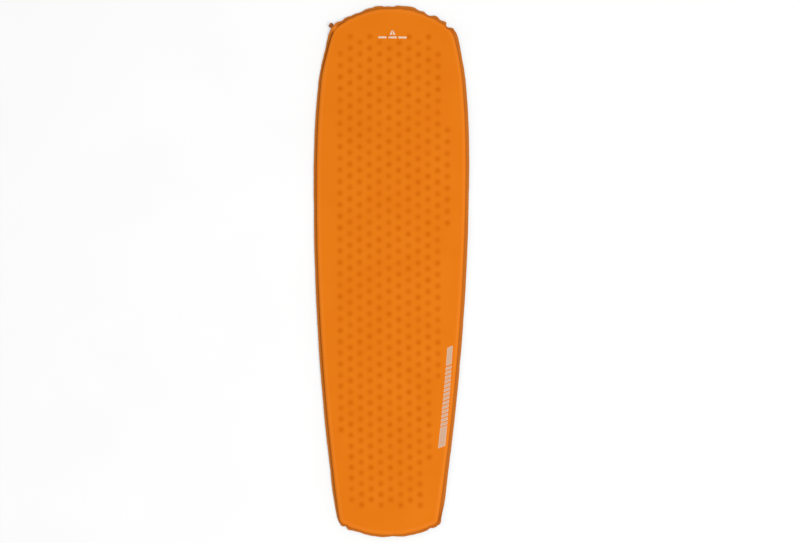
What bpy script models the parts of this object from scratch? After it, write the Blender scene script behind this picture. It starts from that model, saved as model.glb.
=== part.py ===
"""Self-inflating sleeping mat with a mummy outline and a screw valve in one head corner.

Two coated fabric skins are welded to each other round a flat flange and stuck to a sheet
of cored foam. A weld base in the flange carries the valve stem. Screwing the cap out along
the stem lifts its seal off a fixed plug and lets air into the foam.

Frame: metres, +Z up, the mat lies on Z = 0, +Y runs to the head, the origin is the middle
of the footprint. Valve pieces are made along the local +Z of an empty that lies on the
valve's axis, with local Z = 0 on the edge of the flange and +Z pointing out of the mat.
"""

import math

import bmesh
import bpy
from mathutils import Vector

MM = 0.001

# Outline of the mat: arcs that run into each other without a kink
LENGTH = 1.830
WIDTH = 0.533
THICKNESS = 25 * MM
WIDEST_Y = 0.349
FOOT_R = 0.358
FOOT_CORNER_R = 0.030
REAR_SIDE_R = 8.36
FRONT_SIDE_R = 3.40
SHOULDER_R = 0.85
SHOULDER_TURN = math.radians(5)
HEAD_CORNER_R = 0.070
HEAD_R = 0.323
ARC_STEPS = (7, 5, 9, 3, 4, 6, 8)
REAR_SIDE, FRONT_SIDE, SHOULDER, HEAD_CORNER = 2, 3, 4, 5

# Shell: flat welded flange, then a rolled edge up to the flat panel
SKIN = 0.5 * MM
GAP = 0.3 * MM
WELD_FILM = 0.4 * MM
FLANGE_WIDTH = 9.5 * MM
ROLL_WIDTH = 9 * MM
ROLL_STEPS = 4

# Foam core: die-cut holes on a triangular grid, in columns along the mat
FOAM_INSET = 19 * MM
HOLE_R = 10.5 * MM
HOLE_SIDES = 6
HOLE_PITCH = 38.8 * MM
HOLE_ROWS = 42
HOLE_COLUMNS = range(-5, 7)
FIRST_HOLE_Y = 0.8076
GRID_X = -11.2 * MM
GRID_BEND = 17.6 * MM
GRID_STRETCHES = (21.8 * MM, -3.3 * MM)
HOLE_MARGIN = 60 * MM
HOLE_FIELD_SHIFT = -11 * MM
HOLE_CORNER = 0.945

# Valve: where it sits on the head corner, and the screw that the cap runs on
VALVE_SEAT_ANGLE = math.radians(44)
VALVE_AXIS_ANGLE = math.radians(40)
TURN_STEPS = 32
THREAD_LEAD = 4 * MM
THREAD_ROOT_WIDTH = 1.7 * MM
THREAD_CREST_WIDTH = 1 * MM
THREAD_SINK = 0.3 * MM
THREAD_START = 2.4 * MM
STEM_THREAD_TURN = math.radians(450)
CAP_THREAD_FROM = math.radians(202.5)
CAP_THREAD_TURN = math.radians(90)

# Weld base and stem
BASE_WIDTH = 32 * MM
BASE_HEIGHT = 11 * MM
BASE_INNER_END = -15 * MM
BASE_OUTER_END = -2.5 * MM
BASE_TUNNEL_R = 4 * MM
BORE_R = 3.2 * MM
STEM_R = 4.7 * MM
STEM_CREST_R = 5.8 * MM
STEM_INNER_END = -17 * MM
STEM_TIP = 11.5 * MM
COLLAR_R = 6 * MM
COLLAR_TOP = 0.6 * MM
GROOVE_R = 4.2 * MM
GROOVE_FROM = 8.9 * MM
LIP_FROM = 10.7 * MM
LIP_R = 5.7 * MM
O_RING_WIRE_R = 0.65 * MM

# Cap, its seal and the plug that the seal closes on
CAP_R = 8.4 * MM
CAP_BORE_R = 6.1 * MM
CAP_CREST_R = 5 * MM
CAP_BOTTOM = 1.4 * MM
CAP_ROOF = 13.5 * MM
CAP_TOP = 15 * MM
CAP_CHAMFER = 0.5 * MM
MOUTH_R = 2.9 * MM
FLUTES = 16
FLUTE_R = 1 * MM
FLUTE_DEPTH = 0.45 * MM
FLUTE_OVERRUN = 1 * MM
SEAL_R = 5.8 * MM
SEAL_BORE_R = 2.3 * MM
SEAL_BOTTOM = 11.9 * MM
SEAL_CHAMFER = 0.3 * MM
PLUG_HEAD_R = 2 * MM
PLUG_TOP = 14.4 * MM
PLUG_NECK = 12.6 * MM
PLUG_CONE_FROM = 11.2 * MM
PLUG_POST_R = 0.8 * MM
PLUG_FOOT = 5 * MM
SPOKE_WIDTH = 0.8 * MM
SPOKES = 3
HOOP_INNER_R = 2.2 * MM
HOOP_FROM = 5.5 * MM
HOOP_TO = 8 * MM

# Crumb screen at the inner end of the stem
SCREEN_THICKNESS = 0.8 * MM
SCREEN_Z = -16.2 * MM
SCREEN_HOLES = 6
SCREEN_HOLE_R = 0.55 * MM
SCREEN_PITCH_R = 1.75 * MM
SMALL_STEPS = 12

MERGE_DISTANCE = 0.001 * MM
MIDDLE = THICKNESS / 2
FLANGE_TOP = WELD_FILM / 2 + GAP + SKIN


# ---------------------------------------------------------------- scene and materials

def clear_scene():
    for obj in list(bpy.data.objects):
        bpy.data.objects.remove(obj, do_unlink=True)


def new_collection(name):
    collection = bpy.data.collections.new(name)
    bpy.context.scene.collection.children.link(collection)
    return collection


def linear(channel):
    """Linear value of an sRGB channel from 0 to 255."""
    value = channel / 255
    return value / 12.92 if value <= 0.04045 else ((value + 0.055) / 1.055) ** 2.4


def material(name, rgb, roughness, metallic=0.0):
    mat = bpy.data.materials.new(name)
    mat.use_nodes = True
    shader = mat.node_tree.nodes["Principled BSDF"]
    shader.inputs["Base Color"].default_value = (*(linear(c) for c in rgb), 1)
    shader.inputs["Roughness"].default_value = roughness
    shader.inputs["Metallic"].default_value = metallic
    return mat


def add_object(name, data, collection, mat=None, parent=None):
    obj = bpy.data.objects.new(name, data)
    collection.objects.link(obj)
    if mat:
        data.materials.append(mat)
    obj.parent = parent
    return obj


def as_cutter(obj):
    """Mark an object that only shapes others, by joining or cutting."""
    obj.hide_render = True
    obj.display_type = "WIRE"
    return obj


def boolean(obj, other, operation):
    modifier = obj.modifiers.new(operation.lower(), "BOOLEAN")
    modifier.object = other
    modifier.operation = operation
    modifier.solver = "EXACT"


# ---------------------------------------------------------------- outline of the mat

def corner_centre(centre_a, radius_a, centre_b, radius_b, corner_r, end):
    """Centre of the corner arc that touches two big arcs from inside, at the end +1 or -1."""
    reach_a, reach_b = radius_a - corner_r, radius_b - corner_r
    line = centre_b - centre_a
    along = (reach_a ** 2 - reach_b ** 2 + line.length_squared) / (2 * line.length)
    across = math.sqrt(reach_a ** 2 - along ** 2)
    unit = line.normalized()
    side = Vector((-unit.y, unit.x))
    if side.y * end < 0:
        side.negate()
    return centre_a + unit * along + side * across


def direction(start, end):
    return math.atan2(end.y - start.y, end.x - start.x)


def outline_arcs():
    """Arcs of the right-hand half from foot to head: (centre, radius, first normal angle)."""
    foot = Vector((0, FOOT_R - LENGTH / 2))
    rear = Vector((WIDTH / 2 - REAR_SIDE_R, WIDEST_Y))
    front = Vector((WIDTH / 2 - FRONT_SIDE_R, WIDEST_Y))
    turned_line = Vector((math.cos(SHOULDER_TURN), math.sin(SHOULDER_TURN)))
    shoulder = front + turned_line * (FRONT_SIDE_R - SHOULDER_R)
    head = Vector((0, LENGTH / 2 - HEAD_R))
    foot_corner = corner_centre(foot, FOOT_R, rear, REAR_SIDE_R, FOOT_CORNER_R, -1)
    head_corner = corner_centre(shoulder, SHOULDER_R, head, HEAD_R, HEAD_CORNER_R, 1)
    return [
        (foot, FOOT_R, -math.pi / 2),
        (foot_corner, FOOT_CORNER_R, direction(foot, foot_corner)),
        (rear, REAR_SIDE_R, direction(rear, foot_corner)),
        (front, FRONT_SIDE_R, 0.0),
        (shoulder, SHOULDER_R, SHOULDER_TURN),
        (head_corner, HEAD_CORNER_R, direction(shoulder, head_corner)),
        (head, HEAD_R, direction(head, head_corner)),
    ]


def arc_point(arc, angle, inset=0.0):
    centre, radius, _ = arc
    return centre + Vector((math.cos(angle), math.sin(angle))) * (radius - inset)


def outline(inset=0.0):
    """Points round the mat, anticlockwise from the middle of the foot, moved in by inset."""
    arcs = outline_arcs()
    last_angles = [arc[2] for arc in arcs[1:]] + [math.pi / 2]
    right = [arc_point(arcs[0], arcs[0][2], inset)]
    for arc, last, steps in zip(arcs, last_angles, ARC_STEPS):
        for step in range(1, steps + 1):
            right.append(arc_point(arc, arc[2] + (last - arc[2]) * step / steps, inset))
    left = [Vector((-p.x, p.y)) for p in reversed(right[1:-1])]
    return right + left


def half_width(y):
    """Distance from the mat's centre line to its side at y, between the corners."""
    arcs = outline_arcs()
    rear, front, shoulder = arcs[REAR_SIDE], arcs[FRONT_SIDE], arcs[SHOULDER]
    shoulder_y = arc_point(shoulder, SHOULDER_TURN).y
    centre, radius, _ = rear if y < WIDEST_Y else front if y < shoulder_y else shoulder
    return centre.x + math.sqrt(radius ** 2 - (y - centre.y) ** 2)


# ---------------------------------------------------------------- shape builders

def flat_shape(name, loops, thickness, collection, mat=None, parent=None):
    """Sheet centred on local Z = 0: the first loop is its edge, the others are holes."""
    curve = bpy.data.curves.new(name, "CURVE")
    curve.dimensions = "2D"
    curve.fill_mode = "BOTH"
    curve.extrude = thickness / 2
    for loop in loops:
        spline = curve.splines.new("POLY")
        spline.points.add(len(loop) - 1)
        for point, place in zip(spline.points, loop):
            point.co = (place[0], place[1], 0, 1)
        spline.use_cyclic_u = True
    return add_object(name, curve, collection, mat, parent)


def curve_to_mesh(obj, collection):
    """Replace a curve object by a welded mesh object of the same name and place."""
    bpy.context.view_layer.update()
    evaluated = obj.evaluated_get(bpy.context.evaluated_depsgraph_get())
    mesh = bpy.data.meshes.new_from_object(evaluated)
    bm = bmesh.new()
    bm.from_mesh(mesh)
    bmesh.ops.remove_doubles(bm, verts=bm.verts, dist=MERGE_DISTANCE)
    bm.to_mesh(mesh)
    bm.free()
    name, parent, matrix = obj.name, obj.parent, obj.matrix_world.copy()
    bpy.data.objects.remove(obj, do_unlink=True)
    new = add_object(name, mesh, collection, parent=parent)
    new.matrix_world = matrix
    return new


def circle(radius, steps, centre=(0.0, 0.0), phase=0.0):
    angles = [phase + 2 * math.pi * k / steps for k in range(steps)]
    return [(centre[0] + radius * math.cos(a), centre[1] + radius * math.sin(a)) for a in angles]


def turned(name, profile, collection, mat=None, parent=None, closed=True):
    """Solid turned about local Z from (radius, z) points, outer side first, top to bottom."""
    count = len(profile)
    edges = [(k, (k + 1) % count) for k in range(count if closed else count - 1)]
    mesh = bpy.data.meshes.new(name)
    mesh.from_pydata([(r, 0, z) for r, z in profile], edges, [])
    obj = add_object(name, mesh, collection, mat, parent)
    screw = obj.modifiers.new("turn", "SCREW")
    screw.steps = TURN_STEPS
    screw.render_steps = TURN_STEPS
    screw.use_merge_vertices = True
    screw.merge_threshold = MERGE_DISTANCE
    return obj


def thread_ridge(name, root_r, crest_r, first_z, first_angle, sweep, collection, parent):
    """Closed helical ridge with a trapezoid section, rising with the thread's lead."""
    half_root, half_crest = THREAD_ROOT_WIDTH / 2, THREAD_CREST_WIDTH / 2
    section = [(root_r, -half_root), (crest_r, -half_crest),
               (crest_r, half_crest), (root_r, half_root)]
    steps = round(sweep / (2 * math.pi) * TURN_STEPS)
    bm = bmesh.new()
    rings = []
    for step in range(steps + 1):
        swept = sweep * step / steps
        angle = first_angle + swept
        z = first_z + THREAD_LEAD * swept / (2 * math.pi)
        rings.append([bm.verts.new((r * math.cos(angle), r * math.sin(angle), z + dz))
                      for r, dz in section])
    for ring, following in zip(rings, rings[1:]):
        for k in range(len(section)):
            after = (k + 1) % len(section)
            bm.faces.new((ring[k], ring[after], following[after], following[k]))
    bm.faces.new(rings[0])
    bm.faces.new(rings[-1])
    bmesh.ops.recalc_face_normals(bm, faces=bm.faces)
    mesh = bpy.data.meshes.new(name)
    bm.to_mesh(mesh)
    bm.free()
    return as_cutter(add_object(name, mesh, collection, parent=parent))


# ---------------------------------------------------------------- skins, weld and foam

def skin_section():
    """(inset, height over the middle) from the flange's edge in to the flat panel."""
    points = [(0.0, FLANGE_TOP), (FLANGE_WIDTH, FLANGE_TOP)]
    roll_height = MIDDLE - FLANGE_TOP
    for step in range(1, ROLL_STEPS + 1):
        angle = math.pi / 2 * step / ROLL_STEPS
        points.append((FLANGE_WIDTH + ROLL_WIDTH * (1 - math.cos(angle)),
                       FLANGE_TOP + roll_height * math.sin(angle)))
    return points


def make_skin(name, side, collection, mat):
    """Fabric dish, side +1 over the foam or -1 under it: flange, rolled edge and panel."""
    bm = bmesh.new()
    rings = [[bm.verts.new((p.x, p.y, MIDDLE + side * height)) for p in outline(inset)]
             for inset, height in skin_section()]
    count = len(rings[0])
    for outer, inner in zip(rings, rings[1:]):
        for k in range(count):
            after = (k + 1) % count
            bm.faces.new((outer[k], outer[after], inner[after], inner[k]))
    bm.faces.new(rings[-1])
    if side < 0:
        bmesh.ops.reverse_faces(bm, faces=bm.faces)
    mesh = bpy.data.meshes.new(name)
    bm.to_mesh(mesh)
    bm.free()
    skin = add_object(name, mesh, collection, mat)
    shell = skin.modifiers.new("fabric", "SOLIDIFY")
    shell.thickness = SKIN
    shell.offset = -1
    shell.use_even_offset = True
    return skin


def make_edge_weld(collection, mat):
    """Film of melted coating that joins the two skins all round the flange."""
    ring = flat_shape("edge_weld", [outline(), outline(FLANGE_WIDTH)], WELD_FILM, collection)
    ring.location.z = MIDDLE
    weld = curve_to_mesh(ring, collection)
    weld.data.materials.append(mat)
    return weld


def in_hole_field(x, y):
    """Whether a hole stays clear of the sides and of the head's corners."""
    across = abs(x - HOLE_FIELD_SHIFT)
    return across <= half_width(y) - HOLE_MARGIN and across + y <= HOLE_CORNER


def hole_centres():
    """Centres of the foam's holes: rows along Y, odd columns half a pitch towards the foot."""
    centres = []
    for column in HOLE_COLUMNS:
        for row in range(HOLE_ROWS):
            steps = row + 0.5 * (column % 2)
            share = steps / HOLE_ROWS
            stretch = sum(size * math.sin(math.pi * (k + 1) * share) for k, size in enumerate(GRID_STRETCHES))
            y = FIRST_HOLE_Y - HOLE_PITCH * steps - stretch
            x = GRID_X + column * HOLE_PITCH * math.sin(math.pi / 3) + GRID_BEND * share ** 2
            if in_hole_field(x, y):
                centres.append((x, y))
    return centres


def make_foam(collection, mat):
    holes = [circle(HOLE_R, HOLE_SIDES, centre) for centre in hole_centres()]
    thickness = THICKNESS - 2 * (SKIN + GAP)
    foam = flat_shape("foam_core", [outline(FOAM_INSET)] + holes, thickness, collection, mat)
    foam.location.z = MIDDLE
    return foam


# ---------------------------------------------------------------- valve

def add_valve_axis(collection):
    """Empty on the valve's axis: local +Z out of the mat, local +Y up."""
    head_corner = outline_arcs()[HEAD_CORNER]
    seat = arc_point(head_corner, VALVE_SEAT_ANGLE)
    out = Vector((-math.cos(VALVE_AXIS_ANGLE), math.sin(VALVE_AXIS_ANGLE), 0))
    axis = bpy.data.objects.new("valve_axis", None)
    collection.objects.link(axis)
    axis.location = (-seat.x, seat.y, MIDDLE)
    axis.rotation_euler = out.to_track_quat("Z", "Y").to_euler()
    bpy.context.view_layer.update()
    return axis


def lens(width, height):
    """Outline of two equal arcs that meet in points at the left and right."""
    radius = ((width / 2) ** 2 + (height / 2) ** 2) / height
    half_angle = math.asin(width / 2 / radius)
    steps = SMALL_STEPS
    upper = []
    for k in range(steps):
        angle = half_angle * (2 * k / steps - 1)
        upper.append((radius * math.sin(angle), radius * math.cos(angle) - radius + height / 2))
    return upper + [(-x, -y) for x, y in upper]


def lens_block(name, width, height, low, high, collection, axis, tunnel=None):
    """Lens section drawn out along the valve's axis from low to high."""
    loops = [lens(width, height)] + ([tunnel] if tunnel else [])
    block = flat_shape(name, loops, high - low, collection, parent=axis)
    block.location.z = (low + high) / 2
    return as_cutter(curve_to_mesh(block, collection))


def make_stem(parts, cutters, axis, mat):
    """Lens-shaped weld base and threaded stem, one moulding with a bore right through."""
    profile = [
        (LIP_R - CAP_CHAMFER, STEM_TIP), (LIP_R, STEM_TIP - CAP_CHAMFER), (LIP_R, LIP_FROM),
        (GROOVE_R, LIP_FROM), (GROOVE_R, GROOVE_FROM), (STEM_R, GROOVE_FROM),
        (STEM_R, COLLAR_TOP), (COLLAR_R, COLLAR_TOP), (COLLAR_R, BASE_OUTER_END - GAP),
        (STEM_R, BASE_OUTER_END - GAP), (STEM_R, STEM_INNER_END), (BORE_R, STEM_INNER_END),
        (BORE_R, STEM_TIP),
    ]
    stem = turned("valve_stem", profile, parts, mat, axis)
    tunnel = circle(BASE_TUNNEL_R, TURN_STEPS)
    base = lens_block("weld_base", BASE_WIDTH, BASE_HEIGHT, BASE_INNER_END, BASE_OUTER_END,
                      cutters, axis, tunnel)
    ridge = thread_ridge("stem_thread", STEM_R - THREAD_SINK, STEM_CREST_R, THREAD_START,
                         0.0, STEM_THREAD_TURN, cutters, axis)
    boolean(stem, base, "UNION")
    boolean(stem, ridge, "UNION")
    return stem


def make_stem_o_ring(parts, axis, mat):
    """Ring in the stem's groove that seals the cap's skirt."""
    bpy.ops.mesh.primitive_torus_add(
        major_segments=TURN_STEPS, minor_segments=SMALL_STEPS,
        major_radius=GROOVE_R + GAP + O_RING_WIRE_R, minor_radius=O_RING_WIRE_R)
    ring = bpy.context.object
    ring.name = "stem_o_ring"
    bpy.context.collection.objects.unlink(ring)
    parts.objects.link(ring)
    ring.data.materials.append(mat)
    ring.parent = axis
    ring.location.z = (GROOVE_FROM + LIP_FROM) / 2
    return ring


def star(arm_length, arm_width, arms):
    """Outline of equal straight arms that meet in the middle."""
    points = []
    notch_r = arm_width / 2 / math.sin(math.pi / arms)
    for arm in range(arms):
        angle = 2 * math.pi * arm / arms
        along = Vector((math.cos(angle), math.sin(angle)))
        side = Vector((-along.y, along.x)) * (arm_width / 2)
        notch = angle + math.pi / arms
        points += [along * arm_length - side, along * arm_length + side,
                   Vector((math.cos(notch), math.sin(notch))) * notch_r]
    return points


def make_plug(parts, cutters, axis, mat):
    """Mushroom plug on a post, held in the middle of the stem by a spoked hoop."""
    profile = [
        (0, PLUG_TOP), (PLUG_HEAD_R - SEAL_CHAMFER, PLUG_TOP),
        (PLUG_HEAD_R, PLUG_TOP - SEAL_CHAMFER),
        (PLUG_HEAD_R, PLUG_NECK), (PLUG_POST_R, PLUG_CONE_FROM), (PLUG_POST_R, PLUG_FOOT),
        (0, PLUG_FOOT),
    ]
    plug = turned("valve_plug", profile, parts, mat, axis, closed=False)
    hoop_r = BORE_R - GAP
    hoop = as_cutter(turned("plug_hoop", [
        (hoop_r, HOOP_TO), (hoop_r, HOOP_FROM), (HOOP_INNER_R, HOOP_FROM),
        (HOOP_INNER_R, HOOP_TO)], cutters, parent=axis))
    arm_length = (hoop_r + HOOP_INNER_R) / 2
    spokes = flat_shape("plug_spokes", [star(arm_length, SPOKE_WIDTH, SPOKES)],
                        HOOP_TO - HOOP_FROM - 2 * GAP, cutters, parent=axis)
    spokes.location.z = (HOOP_FROM + HOOP_TO) / 2
    spokes = as_cutter(curve_to_mesh(spokes, cutters))
    boolean(plug, spokes, "UNION")
    boolean(plug, hoop, "UNION")
    return plug


def make_screen(parts, axis, mat):
    """Perforated disc that keeps foam crumbs out of the stem."""
    holes = [circle(SCREEN_HOLE_R, SMALL_STEPS, centre)
             for centre in [(0.0, 0.0)] + circle(SCREEN_PITCH_R, SCREEN_HOLES)]
    disc = flat_shape("crumb_screen", [circle(BORE_R - GAP, TURN_STEPS)] + holes,
                      SCREEN_THICKNESS, parts, mat, axis)
    disc.location.z = SCREEN_Z
    return disc


def make_cap_seal(parts, axis, mat):
    """Flat washer under the cap's roof that closes on the plug's head."""
    profile = [
        (SEAL_R, CAP_ROOF - GAP), (SEAL_R, SEAL_BOTTOM + SEAL_CHAMFER),
        (SEAL_R - SEAL_CHAMFER, SEAL_BOTTOM),
        (SEAL_BORE_R + SEAL_CHAMFER, SEAL_BOTTOM), (SEAL_BORE_R, SEAL_BOTTOM + SEAL_CHAMFER),
        (SEAL_BORE_R, CAP_ROOF - GAP),
    ]
    return turned("cap_seal", profile, parts, mat, axis)


def flute_cutter(cutters, axis):
    """Ring of rods that cut the finger grip into the cap's side."""
    bm = bmesh.new()
    length = (CAP_TOP - CAP_BOTTOM) + 2 * FLUTE_OVERRUN
    for x, y in circle(CAP_R + FLUTE_R - FLUTE_DEPTH, FLUTES, phase=math.pi / FLUTES):
        made = bmesh.ops.create_cone(bm, cap_ends=True, segments=SMALL_STEPS, radius1=FLUTE_R,
                                     radius2=FLUTE_R, depth=length)
        bmesh.ops.translate(bm, verts=made["verts"], vec=(x, y, (CAP_TOP + CAP_BOTTOM) / 2))
    mesh = bpy.data.meshes.new("cap_flutes")
    bm.to_mesh(mesh)
    bm.free()
    return as_cutter(add_object("cap_flutes", mesh, cutters, parent=axis))


def make_cap(parts, cutters, axis, mat):
    """Fluted screw cap with a mouth in its end face and a length of thread in its skirt."""
    profile = [
        (CAP_R - CAP_CHAMFER, CAP_TOP), (CAP_R, CAP_TOP - CAP_CHAMFER),
        (CAP_R, CAP_BOTTOM + CAP_CHAMFER), (CAP_R - CAP_CHAMFER, CAP_BOTTOM),
        (CAP_BORE_R, CAP_BOTTOM), (CAP_BORE_R, CAP_ROOF), (MOUTH_R, CAP_ROOF),
        (MOUTH_R, CAP_TOP),
    ]
    cap = turned("valve_cap", profile, parts, mat, axis)
    first_z = THREAD_START - THREAD_LEAD / 2 + THREAD_LEAD * CAP_THREAD_FROM / (2 * math.pi)
    ridge = thread_ridge("cap_thread", CAP_BORE_R + THREAD_SINK, CAP_CREST_R, first_z,
                         CAP_THREAD_FROM, CAP_THREAD_TURN, cutters, axis)
    boolean(cap, flute_cutter(cutters, axis), "DIFFERENCE")
    boolean(cap, ridge, "UNION")
    return cap


# ---------------------------------------------------------------- assembly

def build():
    clear_scene()
    parts = new_collection("sleeping_mat")
    cutters = new_collection("cutters")
    orange = material("orange_coated_fabric", (234, 126, 25), 0.6)
    grey = material("charcoal_grip_fabric", (62, 62, 66), 0.8)
    film = material("tpu_film", (205, 150, 95), 0.45)
    foam = material("open_cell_foam", (232, 222, 196), 0.9)
    stem_plastic = material("stem_plastic", (176, 98, 34), 0.4)
    cap_plastic = material("cap_plastic", (148, 77, 15), 0.35)
    plug_plastic = material("plug_plastic", (58, 56, 56), 0.4)
    rubber = material("seal_rubber", (38, 38, 38), 0.6)
    mesh_plastic = material("screen_plastic", (225, 222, 214), 0.5)

    axis = add_valve_axis(parts)
    clearance = lens_block("valve_clearance", BASE_WIDTH + 2 * GAP, BASE_HEIGHT + 2 * GAP,
                           BASE_INNER_END - GAP, CAP_BOTTOM, cutters, axis)
    sheets = [make_skin("top_skin", 1, parts, orange),
              make_skin("bottom_skin", -1, parts, grey),
              make_edge_weld(parts, film)]
    for sheet in sheets:
        boolean(sheet, clearance, "DIFFERENCE")
    make_foam(parts, foam)

    make_stem(parts, cutters, axis, stem_plastic)
    make_stem_o_ring(parts, axis, rubber)
    make_plug(parts, cutters, axis, plug_plastic)
    make_screen(parts, axis, mesh_plastic)
    make_cap_seal(parts, axis, rubber)
    make_cap(parts, cutters, axis, cap_plastic)


build()
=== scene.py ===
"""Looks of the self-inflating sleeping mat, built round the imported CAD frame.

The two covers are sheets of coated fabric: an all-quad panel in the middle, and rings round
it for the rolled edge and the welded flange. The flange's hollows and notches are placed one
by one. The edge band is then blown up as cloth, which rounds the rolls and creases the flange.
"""

import math

import bmesh
import bpy
import numpy as np
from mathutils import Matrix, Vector
from mathutils.bvhtree import BVHTree


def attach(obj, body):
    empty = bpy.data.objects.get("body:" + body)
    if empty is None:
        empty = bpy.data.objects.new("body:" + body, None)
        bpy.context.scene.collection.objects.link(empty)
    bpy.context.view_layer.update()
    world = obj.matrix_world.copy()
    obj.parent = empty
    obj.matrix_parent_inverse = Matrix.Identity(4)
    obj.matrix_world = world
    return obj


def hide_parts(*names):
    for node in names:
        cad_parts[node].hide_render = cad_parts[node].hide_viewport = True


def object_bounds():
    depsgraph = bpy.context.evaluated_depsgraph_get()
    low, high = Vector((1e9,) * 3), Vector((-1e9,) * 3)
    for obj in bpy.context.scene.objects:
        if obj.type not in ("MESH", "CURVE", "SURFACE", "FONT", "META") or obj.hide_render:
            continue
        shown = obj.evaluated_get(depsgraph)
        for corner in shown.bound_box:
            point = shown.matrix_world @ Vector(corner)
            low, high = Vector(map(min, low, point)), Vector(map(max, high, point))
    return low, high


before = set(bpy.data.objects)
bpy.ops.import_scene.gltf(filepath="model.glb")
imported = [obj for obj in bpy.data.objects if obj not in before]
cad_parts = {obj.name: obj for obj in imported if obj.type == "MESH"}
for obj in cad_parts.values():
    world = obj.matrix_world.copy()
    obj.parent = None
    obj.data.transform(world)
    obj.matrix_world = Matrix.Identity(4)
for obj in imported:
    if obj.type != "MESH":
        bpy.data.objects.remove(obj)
cad_low, cad_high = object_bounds()

MM = 0.001

# Outline, as the CAD draws it: arcs from the middle of the foot to the middle of the head
WIDTH, LENGTH, THICKNESS = cad_high - cad_low
MIDDLE = (cad_high.z + cad_low.z) / 2
WIDEST_Y = 0.349
FOOT_R = 0.358
FOOT_CORNER_R = 0.030
REAR_SIDE_R = 8.36
FRONT_SIDE_R = 3.40
SHOULDER_R = 0.85
SHOULDER_TURN = math.radians(5)
HEAD_CORNER_R = 0.070
HEAD_R = 0.323
FOOT_CORNER, SHOULDER, HEAD_CORNER = 1, 4, 5

# Stations round the edge and cells over the panel
ACROSS, ALONG = 130, 460
STATION_INSET = 12 * MM
PANEL_INSET = 25 * MM

# Seeds of the random draws
HOLE_SEED, SWELL_SEED, RIPPLE_SEED, JITTER_SEED = 3, 5, 7, 11

# Edge section
FLANGE_WIDTH = 9.5 * MM
FLANGE_HALF = 0.6 * MM
FLANGE_SHARES = (0, 0.16, 0.34, 0.52, 0.7, 0.87, 1)
RIM_SHARE, RIM_ROUND = 0.2, 0.2
ROLL_WIDTH = 9 * MM
ROLL_STEPS = 8
ROLL_TOP = FLANGE_WIDTH + 0.7 * ROLL_WIDTH
ROLL_SQUARENESS = 0.8
FILM_HALF = 0.25 * MM
FILM_GAP = 2 * MM
FOAM_INSET = 19 * MM
FOAM_GAP = 0.8 * MM

# Foam holes, as the CAD places them
HOLE_R = 10.5 * MM
HOLE_SIDES = 18
HOLE_PITCH = 38.8 * MM
HOLE_ROWS = 42
HOLE_COLUMNS = range(-5, 7)
FIRST_HOLE_Y = 0.8076
GRID_X = -11.2 * MM
GRID_BEND = 17.6 * MM
GRID_STRETCHES = (21.8 * MM, -3.3 * MM)
HOLE_MARGIN = 60 * MM
HOLE_FIELD_SHIFT = -11 * MM
HOLE_CORNER = 0.945

# Dips of the covers over the holes
DIP_R = 14 * MM
DIP_DEPTHS = {1: 1.0 * MM, -1: 0.4 * MM}
# Reach of the darker colour over each hole: cloth with no foam behind it, and painted shade in the dip
SHADE_R = 16.5 * MM

# Slight unevenness of the panel, which fades in over this stretch from the edge
SWELL, SWELL_LENGTH = 0.2 * MM, 0.13
SWELL_INSET, SWELL_REACH = 16 * MM, 8 * MM

# Puckers of the flange: place along the edge from the middle of that end, right positive, then
# depth and half width, in millimetres. A lobe, which stands out, has a depth below 0.
HEAD_HOLLOWS = ((0, 5.5, 18), (62, -2.2, 28), (100, 4.5, 28), (175, 5, 18), (330, 2.5, 70),
                (400, 1.5, 110),
                (-20, 4.5, 22), (-52, -2.5, 20), (-78, 0, 24), (-117, 6, 30), (-147, 5, 18), (-183, 4.5, 14),
                (-204, -2, 14), (-250, 2, 40), (-335, 1.5, 110))
HEAD_NOTCHES = ((129, 12, 20), (210, 14, 15))
FOOT_HOLLOWS = ((14, 4, 36), (180, -2.5, 34), (270, -2.5, 110), (-105, 3, 34), (-141, -2.5, 14),
                (-191, 2.8, 24), (-290, -2.2, 90))
FOOT_NOTCHES = ((146, 4.5, 11), (175, 3, 8), (-154, 6, 10), (-176, 2, 8))
FLANGE_OUTSET = 2.2 * MM
RIPPLE_LENGTH, RIPPLE = 21 * MM, 0.5 * MM
PUCKER_LIFT = 0.35
HOLLOW_SHARPNESS, NOTCH_SHARPNESS = 2, 1.6

# At the left, at both ends and at the right: how far the flange's edge hangs, how much wider it
# is, and how much painted shade darkens its crease. At the foot it is narrower by FOOT_CREASE.
FLANGE_DROOPS = (8 * MM, 2 * MM, 1.0 * MM)
CREASE_INSETS = (0.0, 1.0 * MM, 3.2 * MM)
CREASE_SHADES = (0.75, 0.3, 0.25)
WIDE_WELD_SHADE = 0.4
FOOT_CREASE = -2.8 * MM

# Where the top cover is stretched over the foam's edge and looks paler: partly the stretched cloth, partly a
# painted highlight along the roll
STRETCH_HIGHLIGHT_INSET, STRETCH_HIGHLIGHT_REACH, STRETCH_HIGHLIGHT_SHARE = 18 * MM, 8 * MM, 0.38

# Beside the valve the weld is wider, hangs less and has more painted shade in its crease: middle and
# half length of that stretch, in millimetres from the middle of the head
BESIDE_VALVE = (-290, 130)
WIDE_WELD = 6.5 * MM
WIDE_WELD_RISE = 4.5 * MM

# Cloth simulation of the edge band, made ten times too large to suit Blender's solver
SIM_SCALE = 10
SIM_FRAMES = 20
SIM_JITTER = 0.5 * MM
BOOT_HOLD = (22 * MM, 34 * MM)
MAX_MOVE = 9 * MM
PROUD = 2 * MM
CLOTH_SETTINGS = {
    "quality": 6, "mass": 0.02, "tension_stiffness": 60, "compression_stiffness": 60,
    "shear_stiffness": 10, "bending_stiffness": 0.05, "tension_damping": 1,
    "compression_damping": 1, "shear_damping": 1, "bending_damping": 0.0, "air_damping": 1,
    "use_pressure": True, "uniform_pressure_force": 200, "vertex_group_mass": "pinned",
    "vertex_group_pressure": "blown",
}

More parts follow.
